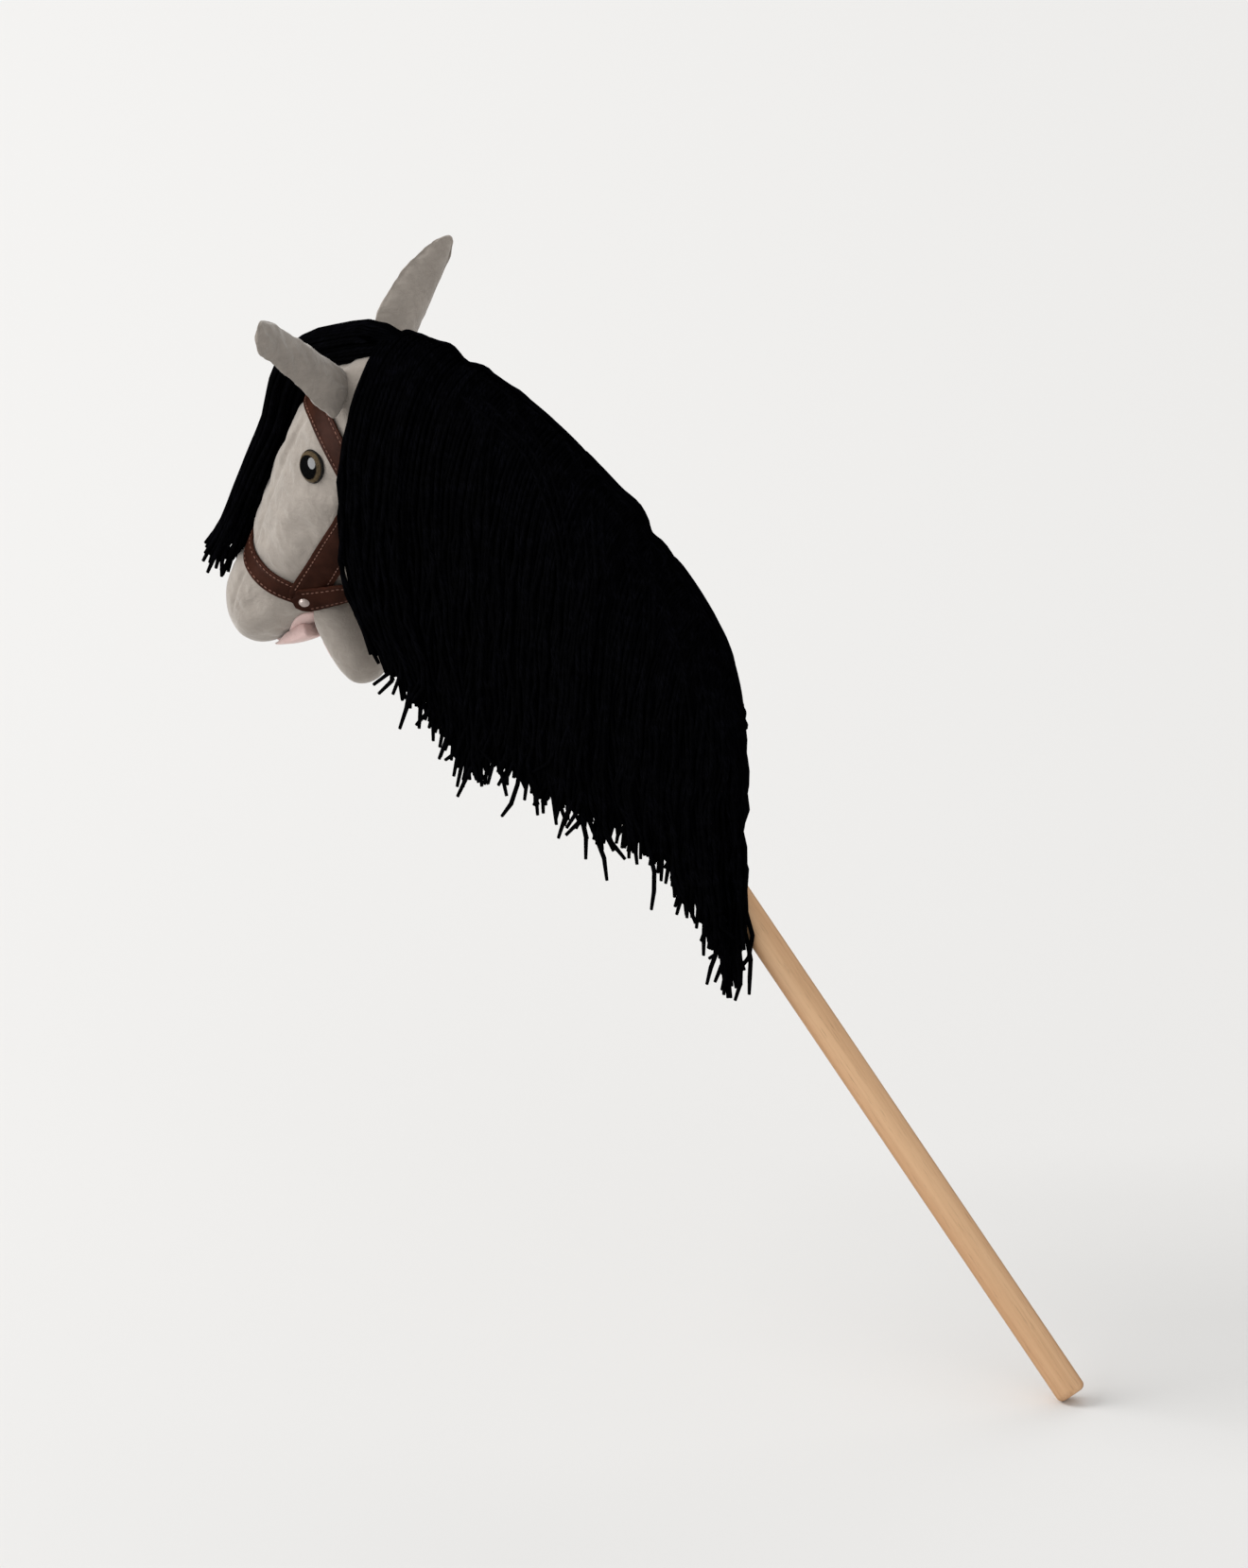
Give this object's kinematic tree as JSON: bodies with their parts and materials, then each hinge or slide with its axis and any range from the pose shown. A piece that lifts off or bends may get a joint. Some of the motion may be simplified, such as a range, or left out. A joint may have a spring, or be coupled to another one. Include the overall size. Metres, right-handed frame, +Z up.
{
  "type": "hobby horse",
  "caption": "Stuffed plush horse's head with a yarn mane and a strap halter on a round wooden stick to straddle and ride.",
  "frame": {"origin": "centre of the flat end of the stick's foot", "axes": "+Z up, +Y to the horse's right, the head faces -X; the stick leans 39.5 degrees from upright in the X-Z plane, as the toy is held when ridden"},
  "size_m": [0.7018, 0.2313, 0.7409],
  "materials": {
    "wood": "pale turned dowel, fine long grain, matt",
    "plush": "short warm grey plush",
    "lining": "pale pink short plush",
    "strap": "dark brown strap, stitched along both edges",
    "rivet": "pale domed cap",
    "eye": "glossy black dome with an olive brown rim",
    "yarn": "near black twisted yarn",
    "tape": "black woven tape",
    "plastic": "plain moulded plastic"
  },
  "bodies": {
    "root": {"stick": "wood", "neck": "plush", "head": "plush", "mouth_lining_upper": "lining", "noseband": "strap", "chin_strap": "strap", "cheek_strap_left": "strap", "cheek_strap_right": "strap", "brow_strap": "strap", "crown_strap": "strap", "rivet_left": "rivet", "rivet_right": "rivet", "eye_left": "eye", "eye_right": "eye", "mane_roots": "yarn", "mane_rear_bunch": "yarn", "mane_tape_poll": "tape", "mane_tape_neck": "tape", "stick_cap": "plastic", "neck_tie": "plastic", "eye_washer_left": "plastic", "eye_washer_right": "plastic"},
    "ear_left_body": {"ear_left": "plush"},
    "ear_right_body": {"ear_right": "plush"},
    "lower_jaw_body": {"lower_jaw": "plush", "mouth_lining_lower": "lining"},
    "mane_body": {"mane_hank_1": "yarn", "mane_hank_2": "yarn", "mane_hank_3": "yarn", "mane_hank_4": "yarn"},
    "forelock_body": {"forelock": "yarn"}
  },
  "joints": [
    {"name": "ear_left_flex", "type": "hinge", "parent": "root", "child": "ear_left_body", "pos_m": [-0.56934, -0.03575, 0.66363], "axis": [-0.2, 0.8111, 0.5497], "range_deg": [-25, 20], "stiffness_Nm_per_rad": 0.12},
    {"name": "ear_right_flex", "type": "hinge", "parent": "root", "child": "ear_right_body", "pos_m": [-0.56934, 0.03576, 0.66363], "axis": [0.2702, 0.7104, -0.6499], "range_deg": [-25, 20], "stiffness_Nm_per_rad": 0.12},
    {"name": "lower_jaw_flex", "type": "hinge", "parent": "root", "child": "lower_jaw_body", "pos_m": [-0.58359, 0, 0.48313], "axis": [0, 1, 0], "range_deg": [-8, 8], "stiffness_Nm_per_rad": 0.15},
    {"name": "mane_swing", "type": "hinge", "parent": "root", "child": "mane_body", "pos_m": [-0.56577, -0.06003, 0.66964], "axis": [-0.7663, 0, 0.6425], "range_deg": [0, 45]},
    {"name": "forelock_swing", "type": "hinge", "parent": "root", "child": "forelock_body", "pos_m": [-0.57294, 0, 0.69782], "axis": [0, 1, 0], "range_deg": [0, 60]}
  ]
}
